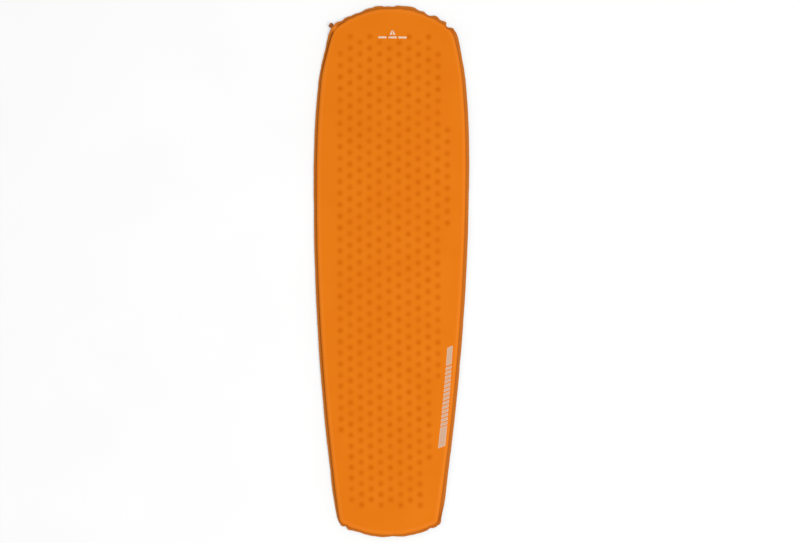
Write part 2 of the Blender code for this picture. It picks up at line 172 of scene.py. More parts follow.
# Valve: seat on the head corner's edge and the direction that it points in
VALVE_SEAT_ANGLE = math.radians(44)
VALVE_AXIS_ANGLE = math.radians(40)
BASE_WIDTH = 32 * MM
BASE_HEIGHT = 11 * MM
BOOT_LENGTH = 30 * MM
BOOT_CLEARANCE = 0.5 * MM
BOOT_PULL, BOOT_PULL_REACH = 2.3 * MM, 12 * MM
BOOT_BLEND = 3 * MM

# The flange doesn't hang within the first distance to each side of the valve's axis, and hangs in
# full beyond the second. The boot's rim is trimmed by that share, in full within the first of
# its half widths and not at all beyond the second.
BOOT_LEVEL = (16 * MM, 38 * MM)
MOUTH_TRIM, MOUTH_HALF_WIDTHS = 0.8, (9.5 * MM, 14 * MM)

# Patches of the boot without the flange's colour, and paler: middle aside, half width, middle
# outwards and half length
BOOT_PATCH = (0, 19 * MM, -8 * MM, 14 * MM)
PALE_PATCH = (-2 * MM, 13 * MM, -3 * MM, 9 * MM)

# Cap, measured outwards from the valve's seat
CAP_R = 8.4 * MM
CAP_BORE_R = 6.1 * MM
CAP_BOTTOM = 1.4 * MM
CAP_ROOF = 13.5 * MM
CAP_TOP = 15 * MM
CAP_FILLET = 3 * MM
CAP_FOOT_FILLET = 1.2 * MM
CAP_BEVEL = 0.4 * MM
MOUTH_R, MOUTH_LIP = 2.9 * MM, 0.3 * MM
DISH_RADII = (4.4 * MM, 4.8 * MM)
FILLET_STEPS = 6
FLUTES = 16
FLUTE_DEPTH = 0.5 * MM
TURN_STEPS = 192

# Printed marks: a tent over three bars near the head, and a strip of blocks beside the edge
HEAD_MARK_Y = 0.822
TENT_HALF_WIDTH, TENT_TOP, TENT_BOTTOM = 10.5 * MM, 10 * MM, -8 * MM
TENT_RIDGE, TENT_SLIT = 0.8 * MM, 1.4 * MM
BAR_LENGTH, BAR_WIDTH, BAR_PITCH, BAR_DROP = 28 * MM, 6.5 * MM, 34.5 * MM, 17 * MM
SIDE_MARK_ENDS = (-0.597, -0.254)
SIDE_MARK_INSETS = (22 * MM, 31 * MM)
SIDE_MARK_WIDTHS = (22 * MM, 16 * MM)
SIDE_MARK_SLANT = 9 * MM
SIDE_MARK_RIM = 1.1 * MM
LONG_BLOCKS = (68 * MM, 60 * MM)
SHORT_BLOCKS, SHORT_BLOCK, SHORT_PITCH = 14, 8.5 * MM, 14.8 * MM
BLOCK_GAP = 8 * MM
INK_THICKNESS, INK_EDGE = 0.1 * MM, 3.5 * MM

# Studio
FLOOR_HALF, FLOOR_GAP = 15, 0.4 * MM
WORLD_STRENGTH = 0.64
KEY_PLACE, KEY_SIZE, KEY_POWER = (2.6, -0.9, 5.9), (2.6, 2.6), 168
CAMERA_PLACE, CAMERA_TURN, CAMERA_LENS = (0.0319, 0, 8.02), 0.0075, 104.6


# ---------------------------------------------------------------- outline

def corner_centre(centre_a, radius_a, centre_b, radius_b, corner_r, end):
    """Centre of the corner arc that touches two big arcs from inside, at the end +1 or -1."""
    reach_a, reach_b = radius_a - corner_r, radius_b - corner_r
    line = centre_b - centre_a
    along = (reach_a ** 2 - reach_b ** 2 + line.length_squared) / (2 * line.length)
    across = math.sqrt(reach_a ** 2 - along ** 2)
    unit = line.normalized()
    side = Vector((-unit.y, unit.x))
    if side.y * end < 0:
        side.negate()
    return centre_a + unit * along + side * across


def direction(start, end):
    return math.atan2(end.y - start.y, end.x - start.x)


def outline_arcs():
    """Arcs of the right-hand half from foot to head: (centre, radius, first normal angle)."""
    foot = Vector((0, FOOT_R - LENGTH / 2))
    rear = Vector((WIDTH / 2 - REAR_SIDE_R, WIDEST_Y))
    front = Vector((WIDTH / 2 - FRONT_SIDE_R, WIDEST_Y))
    turned_line = Vector((math.cos(SHOULDER_TURN), math.sin(SHOULDER_TURN)))
    shoulder = front + turned_line * (FRONT_SIDE_R - SHOULDER_R)
    head = Vector((0, LENGTH / 2 - HEAD_R))
    foot_corner = corner_centre(foot, FOOT_R, rear, REAR_SIDE_R, FOOT_CORNER_R, -1)
    head_corner = corner_centre(shoulder, SHOULDER_R, head, HEAD_R, HEAD_CORNER_R, 1)
    return [
        (foot, FOOT_R, -math.pi / 2),
        (foot_corner, FOOT_CORNER_R, direction(foot, foot_corner)),
        (rear, REAR_SIDE_R, direction(rear, foot_corner)),
        (front, FRONT_SIDE_R, 0.0),
        (shoulder, SHOULDER_R, SHOULDER_TURN),
        (head_corner, HEAD_CORNER_R, direction(shoulder, head_corner)),
        (head, HEAD_R, direction(head, head_corner)),
    ]


ARCS = outline_arcs()


def half_width(y):
    """Distance from the mat's centre line to its side at y, between the corners."""
    rear, front, shoulder = ARCS[2], ARCS[3], ARCS[SHOULDER]
    shoulder_y = shoulder[0].y + shoulder[1] * math.sin(SHOULDER_TURN)
    centre, radius, _ = rear if y < WIDEST_Y else front if y < shoulder_y else shoulder
    return centre.x + math.sqrt(radius ** 2 - (y - centre.y) ** 2)


def edge_stations():
    """Centres, normals, radii and distances of the stations, from the left foot corner."""
    firsts = np.array([arc[2] for arc in ARCS])
    radii = np.array([arc[1] for arc in ARCS])
    centres = np.array([arc[0] for arc in ARCS])
    lengths = (radii - STATION_INSET) * np.diff(np.append(firsts, math.pi / 2))
    starts = np.concatenate([[0], np.cumsum(lengths)])
    foot_corner = starts[FOOT_CORNER] + lengths[FOOT_CORNER] / 2
    head_corner = starts[HEAD_CORNER] + lengths[HEAD_CORNER] / 2
    right = np.concatenate([
        np.linspace(0, foot_corner, ACROSS // 2 + 1)[:-1],
        np.linspace(foot_corner, head_corner, ALONG + 1)[:-1],
        np.linspace(head_corner, starts[-1], ACROSS // 2 + 1),
    ])
    arc = np.clip(np.searchsorted(starts, right, side="right") - 1, 0, len(ARCS) - 1)
    angle = firsts[arc] + (right - starts[arc]) / (radii[arc] - STATION_INSET)
    outer = np.concatenate([[0], np.cumsum(radii * np.diff(np.append(firsts, math.pi / 2)))])
    along = outer[arc] + (angle - firsts[arc]) * radii[arc]
    normal = np.stack([np.cos(angle), np.sin(angle)], axis=1)
    back, mirror = slice(-2, 0, -1), np.array([-1, 1])
    loops = (np.concatenate([centres[arc], centres[arc][back] * mirror]),
             np.concatenate([normal, normal[back] * mirror]),
             np.concatenate([radii[arc], radii[arc][back]]),
             np.concatenate([along, 2 * outer[-1] - along[back]]))
    return [np.roll(loop, ACROSS // 2, axis=0) for loop in loops]


CENTRE, NORMAL, RADIUS, DISTANCE = edge_stations()
STATIONS = len(RADIUS)
PERIMETER = DISTANCE.max() + np.sort(DISTANCE)[1]
FROM_HEAD = PERIMETER / 2 - DISTANCE
FROM_FOOT = (DISTANCE + PERIMETER / 2) % PERIMETER - PERIMETER / 2


def ring(inset):
    """Points at the stations, moved in from the outline; inset is a number or an array."""
    return CENTRE + NORMAL * (RADIUS - inset)[:, None]


def round_loop(values, reach):
    """Values round the edge, averaged over about that distance each way."""
    weights = np.exp(-0.5 * (np.arange(-60, 61) * PERIMETER / STATIONS / reach) ** 2)
    padded = np.concatenate([values[-60:], values, values[:60]])
    return np.convolve(padded, weights / weights.sum(), mode="valid")


def coons(edge):
    """Grid of points inside the last ring, boundary included: rows foot to head."""
    foot, right = edge[:ACROSS + 1], edge[ACROSS:ACROSS + ALONG + 1]
    head = edge[ACROSS + ALONG:2 * ACROSS + ALONG + 1][::-1]
    left = np.concatenate([edge[2 * ACROSS + ALONG:], edge[:1]])[::-1]
    u = np.linspace(0, 1, ACROSS + 1)[None, :, None]
    v = np.linspace(0, 1, ALONG + 1)[:, None, None]
    corners = ((1 - u) * (1 - v) * foot[0] + u * (1 - v) * foot[-1]
               + (1 - u) * v * head[0] + u * v * head[-1])
    return (1 - v) * foot[None] + v * head[None] + (1 - u) * left[:, None] + u * right[:, None] - corners


# ---------------------------------------------------------------- heights

def waves(x, y, length, seed, count=10):
    """Smooth noise from -1 to 1: plane waves of about that length in seeded directions."""
    rng = np.random.default_rng(seed)
    total = np.zeros_like(x)
    for _ in range(count):
        turn, phase = rng.uniform(0, 2 * math.pi, 2)
        rate = 2 * math.pi / (length * rng.uniform(0.7, 1.5))
        total += np.sin(rate * (x * math.cos(turn) + y * math.sin(turn)) + phase)
    return total / count ** 0.5 / 1.5


def in_hole_field(x, y):
    """Whether a hole stays clear of the sides and of the head's corners."""
    across = abs(x - HOLE_FIELD_SHIFT)
    return across <= half_width(y) - HOLE_MARGIN and across + y <= HOLE_CORNER


def hole_centres():
    """Centres of the foam's holes: rows along Y, odd columns half a pitch towards the foot."""
    centres = []
    for column in HOLE_COLUMNS:
        for row in range(HOLE_ROWS):
            steps = row + 0.5 * (column % 2)
            share = steps / HOLE_ROWS
            stretch = sum(size * math.sin(math.pi * (k + 1) * share)
                          for k, size in enumerate(GRID_STRETCHES))
            y = FIRST_HOLE_Y - HOLE_PITCH * steps - stretch
            x = GRID_X + column * HOLE_PITCH * math.sin(math.pi / 3) + GRID_BEND * share ** 2
            if in_hole_field(x, y):
                centres.append((x, y))
    return centres


HOLES = hole_centres()


def hill(distance, reach):
    """1 at distance 0, falling smoothly to 0 at reach."""
    return np.where(distance < reach, 0.5 + 0.5 * np.cos(math.pi * distance / reach), 0.0)


def over_holes(x, y, reach, low, high, seed):
    """Sum over the holes of a hill of that reach, whose height varies from low to high."""
    heights = np.random.default_rng(seed).uniform(low, high, len(HOLES))
    total = np.zeros_like(x)
    for (hole_x, hole_y), height in zip(HOLES, heights):
        near = np.flatnonzero(np.abs(y - hole_y) < reach)
        total[near] += height * hill(np.hypot(x[near] - hole_x, y[near] - hole_y), reach)
    return total


# ---------------------------------------------------------------- valve frame

def valve_axes():
    """Seat, outward axis and sideways axis of the valve, in the plane of the mat."""
    centre, radius, _ = ARCS[HEAD_CORNER]
    seat = Vector((-centre.x - radius * math.cos(VALVE_SEAT_ANGLE),
                   centre.y + radius * math.sin(VALVE_SEAT_ANGLE), MIDDLE))
    out = Vector((-math.cos(VALVE_AXIS_ANGLE), math.sin(VALVE_AXIS_ANGLE), 0))
    return seat, out, Vector((0, 0, 1)).cross(out)


SEAT, OUT, ASIDE = valve_axes()


def valve_local(x, y):
    """Sideways and outward distance of points from the valve's seat."""
    dx, dy = x - SEAT.x, y - SEAT.y
    return dx * ASIDE.x + dy * ASIDE.y, dx * OUT.x + dy * OUT.y


def lens_half_height(aside):
    """Half height of the weld base's lens section at a sideways distance."""
    radius = ((BASE_WIDTH / 2) ** 2 + (BASE_HEIGHT / 2) ** 2) / BASE_HEIGHT
    inside = np.clip(radius ** 2 - aside ** 2, 0, None)
    return np.where(np.abs(aside) < BASE_WIDTH / 2, np.sqrt(inside) - radius + BASE_HEIGHT / 2, 0)


# ---------------------------------------------------------------- edge band

def hump(distance, middle, half_length):
    """1 at the middle, in millimetres along the edge, falling as a sine to 0 at both ends."""
    share = np.clip(1 - np.abs(distance / MM - middle) / half_length, 0, 1)
    return np.sin(math.pi / 2 * share)


def bumps(distance, places, sharpness):
    """Sum of the hollows or notches at their places along the edge, in metres."""
    total = np.zeros_like(distance)
    for middle, depth, half_length in places:
        total += depth * MM * hump(distance, middle, half_length) ** sharpness
    return total


def end_strength():
    """1 along the head and the foot, falling smoothly to 0 on the long sides."""
    return round_loop(np.clip(0.5 / RADIUS, 0, 1), 20 * MM)


def puckers():
    """How far the flange's edge is drawn in at each station; below 0 where it stands out."""
    head = (bumps(FROM_HEAD, HEAD_HOLLOWS, HOLLOW_SHARPNESS)
            + bumps(FROM_HEAD, HEAD_NOTCHES, NOTCH_SHARPNESS))
    foot = (bumps(FROM_FOOT, FOOT_HOLLOWS, HOLLOW_SHARPNESS)
            + bumps(FROM_FOOT, FOOT_NOTCHES, NOTCH_SHARPNESS))
    edge = ring(0)
    ripple = RIPPLE * waves(edge[:, 0], edge[:, 1], RIPPLE_LENGTH, RIPPLE_SEED)
    return head + foot + (ripple - FLANGE_OUTSET) * end_strength()


def band_section():
    """(inset, height) of the flange's rows and of a roll's rows."""
    roll = []
    for step in range(1, ROLL_STEPS + 1):
        angle = math.pi / 2 * step / ROLL_STEPS
        across = 1 - max(math.cos(angle), 0) ** ROLL_SQUARENESS
        roll.append((FLANGE_WIDTH + ROLL_WIDTH * across,
                     THICKNESS / 2 * math.sin(angle) ** ROLL_SQUARENESS))
    roll += [((roll[-1][0] + PANEL_INSET) / 2, THICKNESS / 2), (PANEL_INSET, THICKNESS / 2)]
    return [(FLANGE_WIDTH * share, 0.0) for share in FLANGE_SHARES], roll


FLANGE_ROWS, ROLL_ROWS = band_section()
CREASE = len(FLANGE_ROWS) - 1
BAND_ROWS = ([(*row, 1) for row in FLANGE_ROWS] + [(*row, 1) for row in ROLL_ROWS]
             + [(*row, -1) for row in ROLL_ROWS])


def beside_valve():
    """1 in the middle of the wide weld beside the valve, falling smoothly to 0 at its ends."""
    return hump(FROM_HEAD, *BESIDE_VALVE) ** 2


def crease_shift(inset):
    """How far a row at that inset moves in because the flange is wider than FLANGE_WIDTH there."""
    wider = np.interp(NORMAL[:, 0], (-1, 0, 1), CREASE_INSETS) + WIDE_WELD * beside_valve()
    wider += FOOT_CREASE * np.clip(-NORMAL[:, 1], 0, 1)
    return wider * np.interp(inset, (0, FLANGE_WIDTH, FOAM_INSET), (0, 1, 0))


def at_boot():
    """1 along the edge over the valve's base, falling smoothly to 0 on both sides of it."""
    aside, out = valve_local(*ring(0).T)
    share = np.clip((BOOT_LEVEL[1] - np.abs(aside)) / (BOOT_LEVEL[1] - BOOT_LEVEL[0]), 0, 1)
    return np.where(np.abs(out) < BOOT_HOLD[1], np.sin(math.pi / 2 * share) ** 2, 0)


def start_band():
    """Rows of the band before it is simulated: flange, top roll and bottom roll, Z from the middle."""
    drawn_in = puckers()
    side_droop = np.interp(NORMAL[:, 0], (-1, 0, 1), FLANGE_DROOPS) - WIDE_WELD_RISE * beside_valve()
    rows = []
    for inset, height, side in BAND_ROWS:
        reach = np.clip(1 - inset / (FLANGE_WIDTH + ROLL_WIDTH), 0, 1)
        tilt = np.clip(1 - inset / FLANGE_WIDTH, 0, 1)
        shift = drawn_in * reach ** 1.2 + crease_shift(inset)
        droop = (side_droop + PUCKER_LIFT * drawn_in) * tilt * (1 - at_boot())
        rows.append(np.column_stack([ring(inset + shift), side * height - droop]))
    return np.array(rows)


def band_faces():
    """Quads of the flange and of both rolls, which meet at the crease."""
    def strip(outer, inner, flip):
        after = (np.arange(STATIONS) + 1) % STATIONS
        here = np.arange(STATIONS)
        quads = np.stack([outer * STATIONS + here, outer * STATIONS + after,
                          inner * STATIONS + after, inner * STATIONS + here], axis=1)
        return (quads[:, ::-1] if flip else quads).tolist()

    top = list(range(CREASE + 1, CREASE + 1 + len(ROLL_ROWS)))
    bottom = list(range(top[-1] + 1, top[-1] + 1 + len(ROLL_ROWS)))
    pairs = [(k, k + 1, False) for k in range(CREASE)]
    pairs += [(a, b, False) for a, b in zip([CREASE] + top, top)]
    pairs += [(a, b, True) for a, b in zip([CREASE] + bottom, bottom)]
    return [tuple(quad) for pair in pairs for quad in strip(*pair)]


def near_valve(points, width, length):
    aside, out = valve_local(points[:, 0], points[:, 1])
    return (np.abs(aside) < width) & (np.abs(out) < length)


def simulated_band(rows):
    """The band after its rolls are blown up as cloth from their start shape."""
    rng = np.random.default_rng(JITTER_SEED)
    points = rows.reshape(-1, 3).copy()
    free = np.repeat([inset < FOAM_INSET for inset, _, _ in BAND_ROWS], STATIONS)
    pinned = ~free | near_valve(points, *BOOT_HOLD)
    points[:, 2] += np.where(pinned, 0, rng.uniform(-1, 1, len(points)) * SIM_JITTER)
    mesh = bpy.data.meshes.new("edge_band")
    mesh.from_pydata([tuple(p) for p in points * SIM_SCALE], [], band_faces())
    band = bpy.data.objects.new("edge_band", mesh)
    bpy.context.scene.collection.objects.link(band)
    roll = np.repeat([k > CREASE for k in range(len(BAND_ROWS))], STATIONS)
    for name, chosen in (("pinned", pinned), ("blown", roll & free)):
        band.vertex_groups.new(name=name).add(np.flatnonzero(chosen).tolist(), 1.0, "REPLACE")
    cloth = band.modifiers.new("cloth", "CLOTH")
    cloth.point_cache.frame_end = SIM_FRAMES
    for name, value in CLOTH_SETTINGS.items():
        setattr(cloth.settings, name, value)
    cloth.settings.effector_weights.gravity = 0
    scene = bpy.context.scene
    for step in range(1, SIM_FRAMES + 1):
        scene.frame_set(step)
    result = band.evaluated_get(bpy.context.evaluated_depsgraph_get()).to_mesh()
    moved = np.empty(len(points) * 3)
    result.vertices.foreach_get("co", moved)
    bpy.data.objects.remove(band, do_unlink=True)
    scene.frame_set(1)
    return moved.reshape(rows.shape) / SIM_SCALE


def limited(rows, start):
    """Simulated rows, kept near their start, above the floor and level where they meet the foam."""
    move = rows - start
    length = np.linalg.norm(move, axis=2, keepdims=True)
    rows = start + move * np.minimum(1, MAX_MOVE / np.maximum(length, 1e-9))
    rows[:, :, 2] = np.clip(rows[:, :, 2], -THICKNESS / 2, THICKNESS / 2 + PROUD)
    level = np.abs(start[:, :, 2]) > THICKNESS / 2 - FOAM_GAP / 4
    rows[level, 2] = start[level, 2]
    return rows


def band():
    start = start_band()
    return limited(simulated_band(start), start)


BAND = band()


def flange_normals():
    """Unit normals of the flange's middle surface, up on flat ground."""
    flange = BAND[:CREASE + 1]
    along = np.roll(flange, -1, axis=1) - np.roll(flange, 1, axis=1)
    inwards = np.gradient(flange, axis=0)
    normals = np.cross(along, inwards)
    return normals / np.linalg.norm(normals, axis=2, keepdims=True)


FLANGE_NORMALS = flange_normals()


def flange_rings(offset):
    """Rings of the flange moved off its middle surface, from its rim in to the crease."""
    rings = list(BAND[:CREASE + 1] + FLANGE_NORMALS * offset)
    rim = BAND[0] + FLANGE_NORMALS[0] * offset * RIM_SHARE
    rings[0] = rings[0] + (rings[1] - rings[0]) * RIM_ROUND
    return [rim] + rings


def smooth_max(a, b, blend):
    """The larger of a and b, with the step between them rounded over about that height."""
    return (a + b + np.hypot(a - b, blend)) / 2


def trimmed_at_cap(points):
    """Points in X and Y with the boot's rim drawn back round the cap, so that it stays clear of it."""
    aside, out = valve_local(points[:, 0], points[:, 1])
    share = np.interp(np.abs(aside), MOUTH_HALF_WIDTHS, (1, 0)) * (np.abs(out) < BOOT_HOLD[1])
    back = MOUTH_TRIM * share * np.clip(out, 0, None)
    return points - np.outer(back, OUT[:2])


def cover_rings(side):
    """Rings of a cover in metres above the middle plane, from the edge to the panel."""
    first = CREASE + 1 if side > 0 else CREASE + 1 + len(ROLL_ROWS)
    rings = flange_rings(side * FLANGE_HALF) + list(BAND[first:first + len(ROLL_ROWS)])
    shaped = []
    for points, inset in zip(rings, COVER_INSETS):
        aside, out = valve_local(points[:, 0], points[:, 1])
        boot = np.where(np.abs(out) < BOOT_LENGTH, lens_half_height(aside), 0)
        blend = BOOT_BLEND * boot / (BASE_HEIGHT / 2)
        raised = smooth_max(side * points[:, 2], boot + BOOT_CLEARANCE, blend)
        z = side * np.where((boot > 0) & (inset < ROLL_TOP), raised, side * points[:, 2])
        pull = np.where(boot > 0, BOOT_PULL * np.clip(1 - inset / BOOT_PULL_REACH, 0, 1), 0)
        shaped.append(np.column_stack([trimmed_at_cap(points[:, :2] + NORMAL * pull[:, None]), z]))
    return shaped


# For each ring of a cover from its rim inwards: its inset, and how strongly it takes the colours
# of the flange, of the crease's painted shade and of the stretched cloth with its painted highlight
COVER_INSETS = [0.0] + [row[0] for row in FLANGE_ROWS] + [row[0] for row in ROLL_ROWS]
COVER_FLANGE = [1.0] * len(FLANGE_ROWS) + [0.7] + [0.0] * len(ROLL_ROWS)
COVER_CREASE_SHADE = [min(max(inset / FLANGE_WIDTH * 2 - 0.9, 0), 1) for inset in COVER_INSETS[:CREASE + 2]]
COVER_CREASE_SHADE += [0.35] + [0.0] * (len(ROLL_ROWS) - 1)
COVER_STRETCH_HIGHLIGHT = [float(hill(abs(inset - STRETCH_HIGHLIGHT_INSET), STRETCH_HIGHLIGHT_REACH)) for inset in COVER_INSETS]


# ---------------------------------------------------------------- materials

def linear(*channels):
    """Linear values of sRGB channels from 0 to 255, with alpha 1."""
    shares = [c / 255 for c in channels]
    return (*(s / 12.92 if s <= 0.04045 else ((s + 0.055) / 1.055) ** 2.4 for s in shares), 1)


class Nodes:
    """A Principled material and short calls that add nodes to it."""

    def __init__(self, name, color, roughness, **sockets):
        self.material = bpy.data.materials.new(name)
        self.material.use_nodes = True
        self.tree = self.material.node_tree
        self.shader = self.tree.nodes["Principled BSDF"]
        self.shader.inputs["Base Color"].default_value = color
        self.shader.inputs["Roughness"].default_value = roughness
        for socket, value in sockets.items():
            self.shader.inputs[socket.replace("_", " ")].default_value = value
        self.place = self.add("ShaderNodeTexCoord").outputs["Object"]

    def add(self, kind, **settings):
        node = self.tree.nodes.new(kind)
        for key, value in settings.items():
            setattr(node, key, value)
        return node

    def link(self, source, socket):
        self.tree.links.new(source, socket)

    def noise(self, scale, detail=3.0, roughness=0.5):
        node = self.add("ShaderNodeTexNoise")
        self.link(self.place, node.inputs["Vector"])
        node.inputs["Scale"].default_value = scale
        node.inputs["Detail"].default_value = detail
        node.inputs["Roughness"].default_value = roughness
        return node.outputs["Fac"]

    def bands(self, pitch, axis, distortion=0.0):
        node = self.add("ShaderNodeTexWave", wave_type="BANDS", bands_direction=axis)
        self.link(self.place, node.inputs["Vector"])
        node.inputs["Scale"].default_value = 2 * math.pi / 20 / pitch
        node.inputs["Distortion"].default_value = distortion
        return node.outputs["Fac"]

    def dots(self, pitch, size):
        node = self.add("ShaderNodeTexVoronoi", feature="F1")
        self.link(self.place, node.inputs["Vector"])
        node.inputs["Scale"].default_value = 1 / pitch
        node.inputs["Randomness"].default_value = 0.0
        return self.ramp(node.outputs["Distance"], size, size * 0.7)

    def attribute(self, name):
        return self.add("ShaderNodeAttribute", attribute_name=name).outputs["Fac"]

    def ramp(self, source, low, high, out_low=0.0, out_high=1.0):
        node = self.add("ShaderNodeMapRange", clamp=True)
        self.link(source, node.inputs["Value"])
        for socket, value in (("From Min", low), ("From Max", high),
                              ("To Min", out_low), ("To Max", out_high)):
            node.inputs[socket].default_value = value
        return node.outputs["Result"]

    def math(self, operation, a, b):
        node = self.add("ShaderNodeMath", operation=operation)
        for socket, value in zip(node.inputs, (a, b)):
            if isinstance(value, (int, float)):
                socket.default_value = value
            else:
                self.link(value, socket)
        return node.outputs["Value"]

    def mix(self, share, a, b, blend="MIX"):
        node = self.add("ShaderNodeMix", data_type="RGBA", blend_type=blend)
        sockets = [node.inputs[0], node.inputs[6], node.inputs[7]]
        for socket, value in zip(sockets, (share, a, b)):
            if isinstance(value, (int, float, tuple)):
                socket.default_value = value
            else:
                self.link(value, socket)
        return node.outputs[2]

    def color(self, source):
        self.link(source, self.shader.inputs["Base Color"])

    def roughness(self, source):
        self.link(source, self.shader.inputs["Roughness"])

    def bump(self, heights):
        """Bumps from (height, strength, distance) one over the other."""
        normal = None
        for height, strength, distance in heights:
            node = self.add("ShaderNodeBump")
            node.inputs["Strength"].default_value = strength
            node.inputs["Distance"].default_value = distance
            self.link(height, node.inputs["Height"])
            if normal:
                self.link(normal, node.inputs["Normal"])
            normal = node.outputs["Normal"]
        self.link(normal, self.shader.inputs["Normal"])


def weave(nodes, pitch):
    """Height of a plain weave: threads over and under each other in two directions."""
    return nodes.math("ADD", nodes.bands(pitch, "X"), nodes.bands(pitch, "Y"))


def top_fabric():
    """Orange coated fabric, darker where no pale foam backs it and on the welded flange, with
    painted shade in the crease and over the holes and a painted highlight along the stretched roll.
    """
    nodes = Nodes("top_fabric", linear(234, 125, 22), 0.6, Sheen_Weight=0.01,
                  Sheen_Roughness=0.4, Specular_IOR_Level=0.04)
    patches = nodes.ramp(nodes.noise(9, 2), 0.3, 0.7)
    color = nodes.mix(patches, linear(234, 123, 15), linear(237, 127, 19))
    speckle = nodes.ramp(nodes.noise(900, 2), 0.35, 0.65, 0.0, 0.08)
    color = nodes.mix(speckle, color, linear(205, 98, 14))
    # Darker over the holes: partly cloth with no pale foam behind it, partly painted shade in the dips
    color = nodes.mix(nodes.attribute("hole_backing_and_shade"), color, linear(217, 106, 1))
    # Paler band along the roll: partly stretched cloth, partly a painted highlight
    color = nodes.mix(nodes.math("MULTIPLY", nodes.attribute("stretch"), STRETCH_HIGHLIGHT_SHARE), color,
                      linear(245, 139, 48))
    color = nodes.mix(nodes.attribute("boot"), color, linear(228, 132, 52))
    pressed = nodes.ramp(nodes.bands(6 * MM, "Y", 2.0), 0.55, 0.95, 0.0, 0.3)
    flange = nodes.mix(pressed, linear(205, 119, 40), linear(165, 88, 20))
    color = nodes.mix(nodes.attribute("flange"), color, flange)
    # Painted shade: the crease between flange and roll darkened in the colour, most on the left side and
    # beside the valve
    color = nodes.mix(nodes.attribute("painted_crease_shade"), color, linear(156, 74, 4))
    nodes.color(color)
    nodes.roughness(nodes.ramp(nodes.noise(60, 3), 0.3, 0.7, 0.52, 0.66))
    nodes.bump([(weave(nodes, 0.55 * MM), 0.10, 0.05 * MM),
                (nodes.noise(70, 4), 0.25, 0.35 * MM)])
    return nodes.material


def bottom_fabric():
    """Charcoal coated fabric with printed grip dots."""
    nodes = Nodes("bottom_fabric", linear(62, 62, 66), 0.75, Sheen_Weight=0.1,
                  Specular_IOR_Level=0.35)
    dots = nodes.dots(9 * MM, 0.2)
    base = nodes.mix(nodes.ramp(nodes.noise(12, 3), 0.3, 0.7), linear(56, 56, 60),
                     linear(68, 68, 72))
    nodes.color(nodes.mix(dots, base, linear(34, 34, 37)))
    nodes.roughness(nodes.ramp(dots, 0, 1, 0.78, 0.5))
    nodes.bump([(weave(nodes, 0.55 * MM), 0.12, 0.05 * MM), (dots, 0.6, 0.3 * MM)])
    return nodes.material


def plastic(name, color, dark, roughness):
    """Moulded plastic: slight mottling and a fine satin grain."""
    nodes = Nodes(name, color, roughness, Specular_IOR_Level=0.3)
    nodes.color(nodes.mix(nodes.ramp(nodes.noise(350, 4), 0.35, 0.7), color, dark))
    nodes.roughness(nodes.ramp(nodes.noise(900, 3), 0.3, 0.7, roughness - 0.06, roughness + 0.08))
    nodes.bump([(nodes.noise(2600, 3), 0.12, 0.05 * MM)])
    return nodes.material


def foam_material():
    nodes = Nodes("foam", linear(232, 222, 196), 0.95)
    cells = nodes.noise(1500, 5, 0.7)
    nodes.color(nodes.mix(nodes.ramp(cells, 0.35, 0.65), linear(205, 192, 160),
                          linear(238, 229, 205)))
    nodes.bump([(cells, 0.8, 0.5 * MM)])
    return nodes.material


def film_material():
    nodes = Nodes("weld_film", linear(176, 104, 48), 0.4, Specular_IOR_Level=0.5)
    nodes.color(nodes.mix(nodes.ramp(nodes.noise(220, 3), 0.3, 0.7), linear(160, 88, 34),
                          linear(192, 118, 60)))
    nodes.bump([(nodes.bands(1.4 * MM, "DIAGONAL"), 0.2, 0.05 * MM)])
    return nodes.material


def print_material(name, color, worn):
    nodes = Nodes(name, color, 0.5)
    nodes.color(nodes.mix(nodes.ramp(nodes.noise(420, 4), 0.45, 0.75), color, worn))
    nodes.bump([(weave(nodes, 0.55 * MM), 0.1, 0.05 * MM)])
    return nodes.material


def floor_material():
    """Softly lit white table top, which keeps the mat's own shadow faint."""
    nodes = Nodes("floor", (0.52, 0.52, 0.52, 1), 0.9, Specular_IOR_Level=0.0,
                  Emission_Color=(1, 1, 1, 1), Emission_Strength=0.5)
    nodes.color(nodes.mix(nodes.ramp(nodes.noise(3, 2), 0.3, 0.7), (0.51, 0.51, 0.51, 1),
                          (0.53, 0.53, 0.53, 1)))
    return nodes.material


# ---------------------------------------------------------------- mesh helpers

def add_mesh(name, points, faces, material):
    mesh = bpy.data.meshes.new(name)
    mesh.from_pydata([tuple(p) for p in points], [], faces)
    mesh.update()
    obj = bpy.data.objects.new(name, mesh)
    bpy.context.scene.collection.objects.link(obj)
    mesh.materials.append(material)
    mesh.shade_smooth()
    return obj


def set_attribute(obj, name, values):
    layer = obj.data.attributes.new(name, "FLOAT", "POINT")
    layer.data.foreach_set("value", np.asarray(values, np.float32))


def ring_faces(count, rings, start=0):
    """Quads between rings of count points, facing up where the outer ring comes first."""
    faces = []
    for r in range(rings - 1):
        outer, inner = start + r * count, start + (r + 1) * count
        for k in range(count):
            after = (k + 1) % count
            faces.append((outer + k, outer + after, inner + after, inner + k))
    return faces


def grid_indices(first_boundary, first_inside):
    """Vertex numbers of the panel's grid: its boundary is the last ring's stations."""
    grid = np.zeros((ALONG + 1, ACROSS + 1), int)
    grid[1:-1, 1:-1] = first_inside + np.arange((ALONG - 1) * (ACROSS - 1)).reshape(ALONG - 1, -1)
    stations = first_boundary + np.arange(STATIONS)
    grid[0, :] = stations[:ACROSS + 1]
    grid[:, -1] = stations[ACROSS:ACROSS + ALONG + 1]
    grid[-1, :] = stations[ACROSS + ALONG:2 * ACROSS + ALONG + 1][::-1]
    grid[1:, 0] = stations[2 * ACROSS + ALONG:][::-1]
    return grid


# ---------------------------------------------------------------- covers

def patch(aside, out, middle_aside, half_width, middle_out, half_length):
    """1 in the middle of a patch of the boot, falling smoothly to 0 at its edge."""
    across = hill(np.abs(aside - middle_aside), half_width)
    return across ** 0.5 * hill(np.abs(out - middle_out), half_length) ** 0.5


